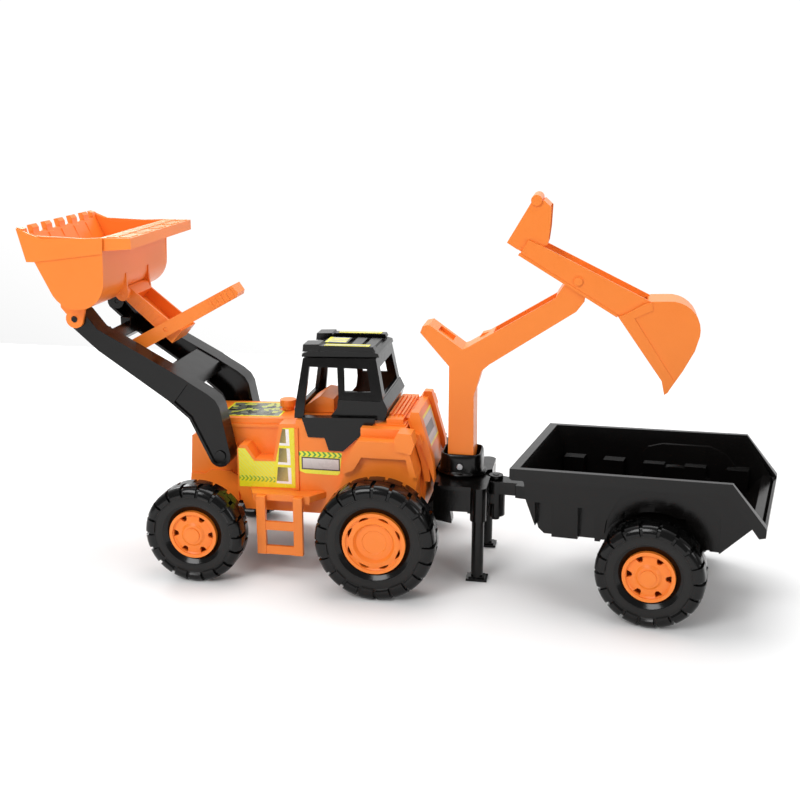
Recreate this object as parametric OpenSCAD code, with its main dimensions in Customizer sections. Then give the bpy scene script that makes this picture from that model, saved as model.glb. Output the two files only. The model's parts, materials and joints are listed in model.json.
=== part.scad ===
// Toy backhoe loader with a tipping trailer, in moulded orange and black plastic.
// Drawn with the rear axle over x = 0 and the centre plane at y = 0, then moved by to_centre,
// so that the origin is on the ground in the middle of the toy as it stands.
// +X points to the rear (towards the trailer), +Y to the tractor's right side, +Z up. Millimetres.

/* [Wheels] */
// Outer radius of the rear tyres
rear_tyre_r = 72.5; // [66:0.5:76]
// Width of the rear tyres
rear_tyre_w = 46; // [38:1:50]
// Radius of the orange rear rims
rear_rim_r = 38; // [32:1:40]
// Distance of a rear tyre's outer face from the centre plane
rear_track_half = 145; // [143:1:155]
// Outer radius of the front and trailer tyres
small_tyre_r = 62; // [58:0.5:66]
// Width of the front and trailer tyres
small_tyre_w = 40; // [34:1:42]
// Radius of the orange front and trailer rims
small_rim_r = 30; // [26:1:32]
// Distance of a front tyre's outer face from the centre plane
front_track_half = 131; // [130:1:138]
// Distance between the front and the rear axle
wheelbase = 229; // [225:1:233]
// Radius of the steel axles
axle_r = 4; // [3:0.5:4.5]

/* [Loader] */
// Half the width of the loader bucket
bucket_half_w = 104; // [98:1:112]
// Length of the crank from a pivot to the tilt link, on the lever and on the bucket
crank_x = 46; // [44:1:47]
// Height of the same crank
crank_z = 25.5; // [25:0.5:27]

/* [Backhoe] */
// Half the width of the boom
boom_half_w = 21; // [19:0.5:21.5]
// Half the width of the digging bucket
digger_half_w = 28; // [27.5:0.5:32]

/* [Trailer] */
// Angle that the trailer stands turned at the hitch, as it is stored
trailer_yaw = -10.65; // [-14:0.05:0]
// Distance from the hitch pin to the trailer axle
drawbar_to_axle = 213; // [210:1:216]
// Half the distance between the outer faces of the trailer tyres
trailer_track_half = 123; // [123:1:130]
// Half the width of the trailer's rim
bed_half_w = 100; // [98:1:104]

/* [Hidden] */
to_centre = [-17.4, 12.7, 0];   // from the drawing frame to the middle of the outline

$fn = 48;
wall = 3;              // usual moulded wall
gap = 0.05;            // radial running clearance of a pin in its bore
eps = 0.01;
orange = "darkorange";
black = [0.12, 0.12, 0.12];
steel = "silver";

// Pivots, as [x, z]
front_axle_at = [-wheelbase, small_tyre_r];
rear_axle_at = [0, rear_tyre_r];
arm_pivot = [-209, 147];
bucket_pivot = [-387, 316];
lever_pivot = [-334, 272];
crank = [crank_x, crank_z];
lever_link_pin = lever_pivot + crank;
bucket_link_pin = bucket_pivot + crank;
boom_pivot = [87, 136];
stick_pivot = [223, 372];
hitch_at = [130, 0];
outrigger_at = [114, 56];

// Widths across the tractor, each half of the whole
core_half = 40;
panel_half = 63;
fender_half = 94;
nose_half = 44;
arm_in = 46;
arm_out = 74;
arm_pin_r = 4;
link_pin_r = 2.8;
link_half = 25;
lever_half = 33;

// ---------- helpers ----------

module placed() { translate(to_centre) children(); }

// Points of an arc round c, from angle a0 to a1, n steps
function arc(c, r, a0, a1, n = 8) =
    [for (i = [0:n]) c + r * [cos(a0 + (a1 - a0) * i / n), sin(a0 + (a1 - a0) * i / n)]];

function unit(v) = v / norm(v);
function left_of(v) = [-v[1], v[0]];

// Corner between the lines p-q and q-r after both move d to their left
function shifted_corner(p, q, r, d) =
    let (u = unit(q - p), v = unit(r - q), nu = left_of(u), nv = left_of(v), s = nu + nv)
    q + d * s * 2 / (s * s);

// Anticlockwise outline moved inwards by d
function inset(pts, d) =
    let (n = len(pts))
    [for (i = [0:n - 1]) shifted_corner(pts[(i + n - 1) % n], pts[i], pts[(i + 1) % n], d)];

// Outline in the side view, [x, z], made into a slab from y0 to y1
module slab(pts, y0, y1) {
    translate([0, y1, 0]) rotate([90, 0, 0]) linear_extrude(y1 - y0) polygon(pts);
}

// The same slab on both sides of the centre plane
module slab_pair(pts, y0, y1) {
    slab(pts, y0, y1);
    slab(pts, -y1, -y0);
}

// Outline in the rear view, [y, z], made into a bar from x0 to x1
module bar(pts, x0, x1) {
    translate([x0, 0, 0]) rotate([90, 0, 90]) linear_extrude(x1 - x0) polygon(pts);
}

// Round bar across the toy, through [x, z], from y0 to y1
module cross_rod(at, r, y0, y1) {
    translate([at[0], y1, at[1]]) rotate([90, 0, 0]) cylinder(r = r, h = y1 - y0);
}

module box(x0, x1, y0, y1, z0, z1) {
    translate([x0, y0, z0]) cube([x1 - x0, y1 - y0, z1 - z0]);
}

module both_sides() {
    children();
    mirror([0, 1, 0]) children();
}

// Strip of width 2 * r with round ends, between two points of the side view, as an outline
function capsule(a, b, r) =
    let (d = unit(b - a), t = atan2(d[1], d[0]))
    concat(arc(a, r, t + 90, t + 270, 8), arc(b, r, t - 90, t + 90, 8));

// ---------- body ----------

// Side outlines, anticlockwise from the lower front corner
hood_z = 187;
deck_z = 200;
sill_z = 76;
core_side = [[-262, 84], [-256, sill_z + 2], [44, sill_z + 2], [47, 112], [40, 150], [24, deck_z], [-116, 197],
    [-117, 191], [-238, hood_z], [-247, 182], [-252, 164], [-257, 162]];
panel_side = [[-190, 102], [-181, sill_z], [-84, sill_z], [-66, 100], [40, 100], [40, 150], [24, 197], [-112, 197],
    [-114, 191], [-134, 190], [-143, 143], [-166, 143], [-177, 160], [-186, 160], [-190, 155]];
fender_side = [[-60, 104], [38, 104], [43, 141], [34.5, 170], [27, 184], [-29, 184], [-46, 155], [-48, 136]];
fender_lip = [[-48, 140], [-34, 146], [-24, 163], [30, 163], [35, 141], [43, 141], [34.5, 170], [27, 184], [-29, 184],
    [-46, 155]];
nose_side = [[-262, 84], [-256, sill_z + 2], [-196, sill_z + 2], [-196, 112], [-206, 118], [-232, 118], [-240, 112], [-259, 112]];
step_plan = [[-174, panel_half - 1], [-75, panel_half - 1], [-92, 84.5], [-164.5, 84.5]];
step_plan_in = [[-167, panel_half + 3], [-84, panel_half + 3], [-95, 81.5], [-161, 81.5]];

module body_blocks() {
    slab(core_side, -core_half, core_half);
    slab(panel_side, -panel_half, panel_half);
    slab_pair(fender_side, core_half, fender_half - 9);
    slab_pair(fender_lip, fender_half - 12, fender_half);
    slab(nose_side, -nose_half, nose_half);
}

module body_hollows() {
    slab(inset(core_side, wall), -core_half + wall, core_half - wall);
    slab(inset(panel_side, wall), -panel_half + wall, panel_half - wall);
    slab_pair(inset(fender_side, wall), core_half, fender_half - 9 - wall);
    box(-259, 41, -core_half + wall, core_half - wall, sill_z - 5, sill_z + 12);
    box(-179, -86, -panel_half + wall, panel_half - wall, sill_z - 5, sill_z + 12);
    box(-52, 34, -(fender_half - 12), fender_half - 12, 90, 110);
}

// Step board that the ladder hangs from, with its two cheeks
module step_board() {
    difference() {
        translate([0, 0, 97]) linear_extrude(8) polygon(step_plan);
        translate([0, 0, 96]) linear_extrude(6) polygon(step_plan_in);
    }
    for (x = [-164, -99]) box(x, x + 7, panel_half - 1, 84.5, 94.5, 103);
}

module headlamp_recess() {
    translate([-262, 0, 140]) rotate([0, 90, 0]) cylinder(r = 11, h = 12);
}

module body_shell() {
    color(orange) difference() {
        union() {
            difference() {
                body_blocks();
                body_hollows();
            }
            both_sides() step_board();
            // stepped rear deck and its cooling ribs
            box(0.5, 21, -60, 60, 196, 203);
            box(-28, 26, -78, 78, 182, 195);
            for (x = [1.5, 6.5, 11.5, 16.5]) box(x, x + 2.4, -46, 46, 202, 206);
            // rear lamp pods
            both_sides() slab([[17, 174], [37, 171], [41, 183], [37, 196], [21, 197], [17, 190]], 74, 98);
            // raised bonnet ledge and the frame round the name label
            slab_pair([[-228, 176], [-136, 179], [-136, 183], [-228, 180]], core_half - 1, core_half + 3);
            slab_pair([[-114.2, 106], [-110, 106], [-110, 186], [-114.2, 186]], panel_half - 1, panel_half + 2.5);
            // pivot bosses for the loader arms
            both_sides() cross_rod(arm_pivot, 15, core_half - 2, arm_in - 0.5);
        }
        // bores for the arm pivot pins
        both_sides() cross_rod(arm_pivot, arm_pin_r, core_half - 6, arm_in + 2);
        // front grille slots
        for (z = [96:10:146]) box(-270, -250, -26, 26, z, z + 4);
        // room for the rear axle block
        box(-21, 21, -79, 79, 50, 97);
        // notch in the rear deck for the skirt of the cab
        slab_pair([[-34, 177.6], [-12.6, 197.7], [-12.6, 204], [-34, 204]], panel_half + 0.05, panel_half + 3.2);
        // hole under the filler cap
        translate([-141, 4, 180]) cylinder(r = 5, h = 20);
    }
}

// Black underframe: sill plate, two axle blocks and the rear mounting wall
module underframe() {
    color(black) difference() {
        union() {
            box(-254, 40, -36.5, 36.5, 72, 80);
            box(-248, -210, -56, 56, 50, 74);
            box(-20, 20, -78, 78, 60, 96);
            box(-20, 20, -36, 36, 60, 78);
            box(-150, -96, -30, 30, 66, 74);
        }
        cross_rod(front_axle_at, axle_r, -60, 60);
        cross_rod(rear_axle_at, axle_r, -80, 80);
        box(-244, -214, -50, -8, 45, 54);
        box(-244, -214, 8, 50, 45, 54);
        box(-15, 15, -74, -6, 79, 100);
        box(-15, 15, 6, 74, 79, 100);
        box(-200, -30, -20, 20, 60, 77);
    }
}

// Sloping rear panel with the three-sided bulge under the label
module rear_grille() {
    color(orange) difference() {
        union() {
            slab([[26.5, 199], [42, 150], [49, 112], [49, 92], [54, 92], [55, 112], [52, 150], [36, 205], [27, 205]], -56, 56);
            slab_pair([[28, 204], [50, 150], [60, 120], [58, 150], [40, 212], [30, 212]], 44, 58);
            both_sides() slab([[40, 172], [46, 176], [42, 186], [36, 188]], 56, 66);
        }
        box(48, 70, -70, 70, 80, 124);
    }
}

// ---------- cab ----------
cab_side = [[-116, 197.2], [-2, 199.7], [-4, 223], [-14, 275], [-105, 272], [-115, 210]];
cab_rear = [[-58, 190], [58, 190], [57, 223], [51, 280], [-51, 280], [-57, 223]];
cab_rear_in = [[-54, 190], [54, 190], [53, 223], [47, 269], [-47, 269], [-53, 223]];
skirt_side = [[-97, 176], [-76, 176], [-71, 160], [-53, 160], [-13, 198], [-13, 203], [-104, 199]];
door_hole = [[-104, 201], [-70, 202], [-62, 212], [-60, 226], [-62, 262], [-97, 262]];
side_window = [[-53, 233], [-20, 234], [-25, 262], [-54, 262]];
front_window = [[-42, 211], [42, 211], [39, 262], [-39, 262]];
rear_window = [[-42, 228], [42, 228], [38, 262], [-38, 262]];

module cab_frame() {
    color(black) difference() {
        union() {
            intersection() {
                slab(cab_side, -60, 60);
                bar(cab_rear, -130, 10);
            }
            slab_pair(skirt_side, panel_half + 0.2, panel_half + 3);
            slab_pair([[-104, 197.2], [-13, 200.5], [-13, 204], [-104, 201]], 50, panel_half + 3);
            // belt bulge behind the door
            slab_pair([[-60, 203], [-3, 206], [-4, 223], [-60, 223]], 54, 59);
            // rear apron
            slab([[-6, 203.2], [-1, 203.2], [2, 214], [-4, 226], [-7, 226]], -59, 59);
        }
        intersection() {
            slab([[-113, 180], [-6, 180], [-8, 223], [-18, 271], [-101, 268], [-110, 210]], -60, 60);
            bar(cab_rear_in, -130, 10);
        }
        slab(door_hole, -70, 70);
        slab(side_window, -70, 70);
        bar(front_window, -130, -95);
        bar(rear_window, -20, 10);
        box(-113, -8, -54, 54, 180, 202);
    }
}

// Roof cap with two lamp boxes, two side rails and ribs
module cab_roof() {
    color(black) {
        slab([[-108, 272.6], [-11, 275.6], [-12, 280], [-20, 282], [-98, 280], [-107, 277]], -47, 47);
        both_sides() {
            slab([[-107, 279], [-87, 280], [-84, 284], [-86, 289], [-106, 288]], 22, 46);
            slab([[-86, 279], [-20, 281], [-17, 284], [-19, 288], [-86, 287]], 32, 45.5);
        }
        box(-88, -58, -17, 17, 279, 285);
        for (x = [-52, -34]) box(x, x + 13, -24, 24, 279, 284.5);
    }
}

// Orange console that stands inside the cab
module dashboard() {
    color(orange) difference() {
        slab([[-110, 197.2], [-72, 198.5], [-72, 216], [-90, 219], [-110, 205]], -30, 30);
        slab([[-106, 190], [-76, 190], [-76, 212], [-90, 215], [-106, 203]], -26, 26);
    }
}

module filler_cap() {
    color(orange) translate([-141, 4, 0]) {
        translate([0, 0, 182]) cylinder(r = 4.9, h = 12);
        translate([0, 0, 190.5]) cylinder(r = 8, h = 6);
        translate([0, 0, 195]) cylinder(r = 10.5, h = 9);
    }
}

// Ladder: two stiles and two rungs, against the face of the step board
module ladder() {
    color(orange) {
        for (x = [-158.6, -111.4]) box(x, x + 11.5, 84.6, 91.5, 28, 104);
        for (z = [28, 60]) box(-148, -110, 85.5, 90.5, z, z + 11);
    }
}

module ladder_left() { mirror([0, 1, 0]) ladder(); }
module ladder_right() { ladder(); }

// ---------- wheels ----------

// Wheel parts lie round the Y axis with the outer face at y = 0 and the inner face at y = w

// Hollow tyre, open towards the axle
module tyre(r, w, rim) {
    inner = rim;
    profile = [[inner, 5], [inner + 3, 1.5], [inner + 6, 0], [r - 7, 0], [r - 2, 2], [r, 6], [r, w - 6],
        [r - 2, w - 2], [r - 7, w], [inner + 6, w], [inner + 3, w - 1.5], [inner, w - 5], [inner, w - 8],
        [inner + 6, w - 3], [r - 8, w - 3], [r - 4, w - 5], [r - 3, w - 8], [r - 3, 8], [r - 4, 5],
        [r - 8, 3], [inner + 6, 3], [inner, 8]];
    color(black) rotate([-90, 0, 0]) rotate_extrude($fn = 96) polygon(profile);
}

// Rim with a drum that holds both beads, a dished face, a hub tube and a closed nose at depth nose
module rim(w, rim_r, holes, dish, nose) {
    color(orange) rotate([-90, 0, 0]) difference() {
        union() {
            rotate_extrude($fn = 96) polygon([[rim_r - 4, 3], [rim_r, 3], [rim_r, w - 3], [rim_r - 3, w - 3],
                [rim_r - 3, 10], [rim_r - 4, 8]]);
            rotate_extrude($fn = 96) polygon(dish);
            translate([0, 0, nose]) cylinder(r = 9, h = w - 2 - nose);
            translate([0, 0, w - 6]) cylinder(r = rim_r - 1, h = 3);
        }
        translate([0, 0, nose + 5]) cylinder(r = axle_r + gap, h = w);
        for (i = [0:holes[0] - 1]) rotate([0, 0, 360 / holes[0] * i + holes[1]])
            translate([holes[2], 0, 1]) linear_extrude(12) polygon(holes[3]);
    }
}

// Face profiles, [radius, depth]
small_dish = [[0, 1], [6, 1], [7, 2.5], [12, 2.5], [15, 5], [18, 5.5], [24, 6.5], [small_rim_r - 3, 4],
    [small_rim_r - 3, 9], [24, 10], [15, 9.5], [0, 8]];
rear_dish = [[0, 9], [14, 9], [15, 8], [22, 8.5], [25, 4], [32, 5.5], [rear_rim_r - 3, 4], [rear_rim_r - 3, 9],
    [28, 9.5], [22, 13], [0, 13]];
// Window pattern: count, start angle, radius of its centre, outline
small_holes = [6, 0, 22.5, [[-3, -2.5], [2.5, -4.5], [2.5, 4.5], [-3, 2.5], [-4, 0]]];
rear_holes = [8, 22.5, 31, arc([-6.5, 0], 9, -50, 50, 6)];
small_nose = 1;
rear_nose = 9;

// Puts a wheel part at an axle end; side is -1 on the left, +1 on the right
module at_axle(at, face_y, side) {
    translate([at[0], 0, at[1]]) mirror([0, side > 0 ? 1 : 0, 0]) translate([0, -face_y, 0]) children();
}

module front_tyre(side) { at_axle(front_axle_at, front_track_half, side) tyre(small_tyre_r, small_tyre_w, small_rim_r); }
module front_rim(side) {
    at_axle(front_axle_at, front_track_half, side) rim(small_tyre_w, small_rim_r, small_holes, small_dish, small_nose);
}
module rear_tyre(side) { at_axle(rear_axle_at, rear_track_half, side) tyre(rear_tyre_r, rear_tyre_w, rear_rim_r); }
module rear_rim(side) {
    at_axle(rear_axle_at, rear_track_half, side) rim(rear_tyre_w, rear_rim_r, rear_holes, rear_dish, rear_nose);
}

module front_axle() { color(steel) cross_rod(front_axle_at, axle_r, small_nose + 6 - front_track_half, front_track_half - small_nose - 6); }
module rear_axle() { color(steel) cross_rod(rear_axle_at, axle_r, rear_nose + 6 - rear_track_half, rear_track_half - rear_nose - 6); }

// ---------- loader ----------
arm_side = concat(
    [[-361, 276], [-273, 216], [-247, 194]],
    arc(arm_pivot, 14, 215, 370, 10),
    [[-207, 210], [-212, 219], [-222, 227], [-241, 238], [-252, 245], [-360, 303]],
    arc(bucket_pivot, 13, 40, 215, 8));
// Lower part of the arm, which is recessed on its outer face
arm_lower = concat([[-270, 214], [-247, 194]], arc(arm_pivot, 14, 215, 370, 10), [[-207, 210], [-212, 219], [-222, 227], [-241, 238], [-248, 243]]);

module loader_arm() {
    color(black) difference() {
        union() {
            difference() {
                slab(arm_side, arm_in, arm_out);
                slab(inset(arm_side, 3.5), arm_in - 1, arm_out - 7);
                slab(inset(arm_lower, 3.5), arm_out - 3, arm_out + 1);
            }
            cross_rod(arm_pivot, 11, arm_in, arm_out - 4);
            cross_rod(bucket_pivot, 10, arm_in, arm_out - 1);
            cross_rod(lever_pivot, 9, arm_in, arm_out - 4);
        }
        cross_rod(arm_pivot, arm_pin_r + gap, arm_in - 1, arm_out + 1);
        cross_rod(bucket_pivot, link_pin_r, arm_in - 1, arm_out + 1);
        cross_rod(lever_pivot, link_pin_r, arm_in - 1, arm_out - 8);
    }
}

module loader_arm_left() { mirror([0, 1, 0]) loader_arm(); }
module loader_arm_right() { loader_arm(); }

// Box beam between the arms behind the lever
module arm_cross_rear() {
    beam = [[-288, 236], [-256, 218], [-244, 228], [-246, 240], [-276, 256], [-288, 250]];
    color(black) difference() {
        slab(beam, -arm_in, arm_in);
        slab([[-284, 232], [-258, 215], [-249, 228], [-251, 237], [-275, 250], [-284, 246]], -arm_in + 3, arm_in - 3);
    }
}

// Thin beam and rod between the arms near the bucket
module arm_cross_front() {
    color(black) {
        slab([[-372, 286], [-356, 276], [-352, 282], [-368, 292]], -arm_in, arm_in);
        box(-376, -362, 30, arm_in, 284, 298);
        box(-376, -362, -arm_in, -30, 284, 298);
    }
}

module arm_pivot_pins() {
    color(steel) both_sides() {
        cross_rod(arm_pivot, arm_pin_r, core_half - 5, arm_out - 2.8);
        cross_rod(arm_pivot, 7, arm_out - 2.8, arm_out - 0.8);
    }
}

// ---------- loader bucket ----------
bowl_c = [-371, 368];
bowl_r = 36;
bowl_side = concat([[-437, 421]], arc(bowl_c, bowl_r, 202, 360, 14), [[-334, 418]]);
bowl_in = concat([[-437, 440], [-433.5, 421.5]], arc(bowl_c, bowl_r - wall, 202, 360, 14), [[-338, 440]]);
cheek_side = concat([[-440, 428], [-437, 420]], arc(bowl_c, bowl_r, 202, 360, 14), [[-333, 419], [-409, 416]]);
mouth_band = [[-441, 429], [-431, 389], [-422, 389], [-333, 401], [-332, 420], [-409, 417]];
ear_side = concat(arc(bucket_pivot, 11.5, 150, 330, 10), [[-372, 330], [-371, 333.6], [-388, 338], [-396, 344],
    [-404, 345], [-404, 330]]);
clevis_side = concat(arc(bucket_link_pin, 9, 200, 340, 8),
    [[-334, 352], [-334, 368], [-336.5, 368], [-341.1, 350.7], [-346.6, 343.6]]);
tooth_count = 5;

module loader_bucket() {
    w = bucket_half_w;
    color(orange) difference() {
        union() {
            difference() {
                slab(bowl_side, -w + 2, w - 2);
                slab(bowl_in, -w + wall + 2, w - wall - 2);
            }
            slab_pair(cheek_side, w - 5.5, w - 2);
            slab_pair(mouth_band, w - 3, w);
            // back flange
            difference() {
                slab([[-336.5, 404], [-298, 407], [-298, 420], [-336.5, 419.5]], -w + 3.5, w - 3.5);
                slab([[-333, 400], [-301, 400], [-301, 417], [-333, 416]], -w + 6, w - 6);
            }
            // teeth, each with a rib down the inside of the front wall
            for (i = [0:tooth_count - 1]) {
                y = -w + (i + 1) * 2 * w / (tooth_count + 1);
                slab([[-438, 417], [-432, 417], [-433, 427], [-436, 431], [-441, 430]], y - 7.4, y + 7.4);
                slab([[-409, 352], [-402, 350], [-430.5, 418], [-435, 419]], y - 6.8, y + 6.8);
            }
            slab_pair([[-438, 417], [-432, 417], [-434, 428], [-441, 430]], w - 14, w - 2.5);
            // ears for the arms and for the tilt link
            slab_pair(ear_side, arm_out + 0.6, arm_out + 4.6);
            slab_pair(clevis_side, lever_half + 0.6, lever_half + 4);
            slab_pair([[-404, 338], [-392, 330], [-372, 330], [-371, 333.6], [-388, 338], [-396, 344], [-404, 345]],
                arm_out, arm_out + 6);
            // dent in the back wall that leaves room for the eye of the tilt link
            intersection() {
                slab(bowl_side, -lever_half - 3.6, lever_half + 3.6);
                cross_rod(bucket_link_pin, 11.6, -lever_half - 3.6, lever_half + 3.6);
            }
        }
        cross_rod(bucket_pivot, link_pin_r + gap, -w - 1, w + 1);
        cross_rod(bucket_link_pin, link_pin_r, -w - 1, w + 1);
        cross_rod(bucket_link_pin, 8.4, -lever_half - 0.4, lever_half + 0.4);
        // cleans the ribs and ears out of the bowl and off the arms
        slab([[-395, 300], [-360, 300], [-360, 330.5], [-395, 330.5]], -arm_out - 0.4, arm_out + 0.4);
    }
}

module bucket_pins() {
    color(black) both_sides() {
        cross_rod(bucket_pivot, link_pin_r, arm_in + 1, arm_out + 5);
        cross_rod(bucket_pivot, 4, arm_out + 4.8, arm_out + 5.8);
    }
}

// ---------- tilt linkage ----------
link_dir = unit(lever_link_pin - bucket_link_pin);
link_n = left_of(link_dir);
link_tail = lever_link_pin + 16 * link_dir;
link_side = concat(arc(bucket_link_pin, 8, 57, 237, 8),
    [bucket_link_pin + 14 * link_dir - 9 * link_n, link_tail - 12 * link_n, link_tail + 9 * link_n]);

// Open-topped box link with finger ribs on both flanks
module tilt_link() {
    color(orange) difference() {
        union() {
            difference() {
                slab(link_side, -link_half, link_half);
                slab([bucket_link_pin + 12 * link_dir - 6 * link_n, link_tail - 4 * link_dir - 9 * link_n,
                    link_tail - 4 * link_dir + 20 * link_n, bucket_link_pin + 12 * link_dir + 20 * link_n],
                    -link_half + wall, link_half - wall);
            }
            cross_rod(bucket_link_pin, 7.5, -lever_half, lever_half);
            for (s = [18:7:46]) slab_pair([bucket_link_pin + s * link_dir - 8 * link_n,
                bucket_link_pin + (s + 2) * link_dir - 8 * link_n, bucket_link_pin + (s + 5) * link_dir + 5 * link_n,
                bucket_link_pin + (s + 3) * link_dir + 5 * link_n], link_half - 1, link_half + 1);
        }
        cross_rod(bucket_link_pin, link_pin_r + gap, -50, 50);
        cross_rod(lever_link_pin, link_pin_r + gap, -50, 50);
    }
}

module link_pin_front() { color(orange) cross_rod(bucket_link_pin, link_pin_r, -lever_half - 4, lever_half + 4); }
module link_pin_rear() { color(orange) cross_rod(lever_link_pin, link_pin_r, -lever_half + 0.5, lever_half - 0.5); }

lever_dir = unit(crank);
lever_n = left_of(lever_dir);
function on_lever(s, t) = lever_pivot + s * lever_dir + t * lever_n;
lever_side = concat(arc(lever_pivot, 9, 119, 299, 8), [on_lever(150, -8), on_lever(154, -4), on_lever(152, 8)]);
function lever_x(s) = lever_pivot[0] + s * lever_dir[0];
// Half of the lever seen from above, as [distance along it, half width], and the same moved out by d
lever_half_plan = [[-14, lever_half], [66, lever_half], [100, lever_half - 3], [114, lever_half - 8], [160, 13]];
function lever_plan(d) = concat([for (p = lever_half_plan) [lever_x(p[0]), -p[1] - d]],
    [for (i = [len(lever_half_plan) - 1:-1:0]) [lever_x(lever_half_plan[i][0]), lever_half_plan[i][1] + d]]);

// Hand lever: a fork over the link that narrows into a grip with finger ribs
module tilt_lever() {
    color(orange) difference() {
        union() {
            intersection() {
                slab(lever_side, -lever_half, lever_half);
                translate([0, 0, 200]) linear_extrude(200) polygon(lever_plan(0));
            }
            intersection() {
                for (s = [118:7:150]) slab([on_lever(s, -7), on_lever(s + 3, -7), on_lever(s + 3, 7), on_lever(s, 7)], -40, 40);
                translate([0, 0, 200]) linear_extrude(200) polygon(lever_plan(1));
            }
        }
        cross_rod(lever_pivot, link_pin_r + gap, -50, 50);
        cross_rod(lever_link_pin, link_pin_r, -50, 50);
        slab([on_lever(-20, -12), on_lever(86, -12), on_lever(86, 12), on_lever(-20, 12)], -lever_half + 4, lever_half - 4);
        slab([on_lever(90, -12), on_lever(144, -12), on_lever(144, 4), on_lever(90, 4)], -9, 9);
    }
}

module lever_pin() { color(steel) cross_rod(lever_pivot, link_pin_r, -arm_out + 8.5, arm_out - 8.5); }

// ---------- backhoe ----------
module backhoe_base() {
    color(black) difference() {
        union() {
            // mounting plate, box below it and the two hooks on the tractor
            difference() {
                box(58, 124, -60, 60, 116, 121);
                both_sides() slab([[50, 110], [74, 110], [56, 130], [50, 130]], 48, 70);
            }
            difference() {
                box(62, 124, -45, 45, 83, 117);
                box(66, 120, -41, 41, 70, 116);
            }
            both_sides() slab([[57, 72], [80, 68], [80, 72], [74, 116], [57, 116]], 30, 48);
            // upright tubes for the outriggers
            both_sides() translate([outrigger_at[0], outrigger_at[1], 78]) cylinder(r = 10, h = 43);
            both_sides() box(100, 114, 44, 52, 84, 116);
            // tow socket
            translate([hitch_at[0], 0, 66]) cylinder(r = 12, h = 31);
            box(112, 130, -12, 12, 84, 97);
            // turntable ring
            translate([boom_pivot[0], 0, 120]) cylinder(r = 27, h = 2);
        }
        both_sides() translate([outrigger_at[0], outrigger_at[1], 70]) cylinder(r = 7.6, h = 48);
        translate([hitch_at[0], 0, 60]) cylinder(r = 4, h = 40);
        translate([hitch_at[0], 0, 97]) cylinder(r = 15.6, h = 30);
        translate([boom_pivot[0], 0, 100]) cylinder(r = 5 + gap, h = 30);
    }
}

// Stabiliser leg with its square foot
module outrigger() {
    color(black) translate([outrigger_at[0], outrigger_at[1], 0]) {
        translate([0, 0, 2]) cylinder(r = 7.5, h = 86);
        translate([-13, -10, 0]) cube([26, 20, 3]);
        translate([-10, -7, 2]) cube([20, 14, 3]);
    }
}

module outrigger_left() { mirror([0, 1, 0]) outrigger(); }
module outrigger_right() { outrigger(); }

// Slotted turntable post that the boom is pinned in
module turret() {
    color(black) difference() {
        union() {
            translate([boom_pivot[0], 0, 122.2]) cylinder(r = 31, h = 4);
            translate([boom_pivot[0], 0, 125]) intersection() {
                cylinder(r = 32, h = 27);
                translate([-25, -32, 0]) cube([50, 64, 27]);
            }
        }
        translate([boom_pivot[0] - 40, -boom_half_w - 0.4, 126]) cube([80, 2 * boom_half_w + 0.8, 40]);
        cross_rod(boom_pivot, arm_pin_r, -40, 40);
        translate([boom_pivot[0], 0, 110]) cylinder(r = 5, h = 30);
    }
}

module turret_screw() {
    color(steel) translate([boom_pivot[0], 0, 0]) {
        translate([0, 0, 112]) cylinder(r = 5, h = 14);
        translate([0, 0, 111]) cylinder(r = 9, h = 4.9);
    }
}

boom_side = concat(
    arc(boom_pivot + [0, 8], 16, 180, 360, 10),
    [[102, 227], [105, 236], [111, 258], [121, 267], [222, 335]],
    arc([219, 352], 13, -20, 60, 3),
    [[214, 361], [92, 286], [87, 284], [46, 313], [38, 311], [35, 303], [71, 262]]);
boom_arm_pocket = [[128, 277], [212, 333], [217, 352], [209, 353], [101, 287]];
boom_handle_pocket = [[54, 302], [72, 289], [80, 300], [62, 313]];
boom_post_pocket = [[75, 165], [98, 165], [98, 226], [104, 248], [92, 262], [75, 262]];

module boom() {
    color(orange) difference() {
        union() {
            difference() {
                slab(boom_side, -boom_half_w, boom_half_w);
                slab(boom_arm_pocket, -boom_half_w + wall, boom_half_w - wall);
                slab([[128, 300], [214, 353], [222, 366], [204, 366], [120, 312]], -boom_half_w + wall, boom_half_w - wall);
                slab(boom_handle_pocket, -boom_half_w + 8, boom_half_w - 8);
                slab(boom_post_pocket, -boom_half_w + wall, boom_half_w + 1);
            }
            // clevis end that carries the stick
            slab(capsule([208, 348], stick_pivot, 11), -boom_half_w, boom_half_w);
            // stop lug on the top edge
            slab([[103, 291], [108, 299], [115, 301], [121, 303], [121, 299]], 6, boom_half_w);
            cross_rod(boom_pivot, 9.5, -boom_half_w, boom_half_w);
        }
        cross_rod(boom_pivot, arm_pin_r + gap, -40, 40);
        cross_rod(stick_pivot, arm_pin_r + gap, -40, 40);
        slab([[204, 340], [232, 340], [236, 384], [214, 388], [204, 352]], -12, 12);
    }
}

module boom_pin() { color(steel) cross_rod(boom_pivot, arm_pin_r, -30, 30); }

// Stick: two cheeks, a floor with a slot for the boom, and cross ribs
stick_dir = unit([272, 331] - [153, 402]);
stick_n = left_of(stick_dir);
function on_stick(s, t) = stick_pivot + s * stick_dir + t * stick_n;
stick_side = [on_stick(-75, -10), on_stick(63, -10), on_stick(84, 25), on_stick(-54, 13), on_stick(-75, 10)];
stick_half = 25;

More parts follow.
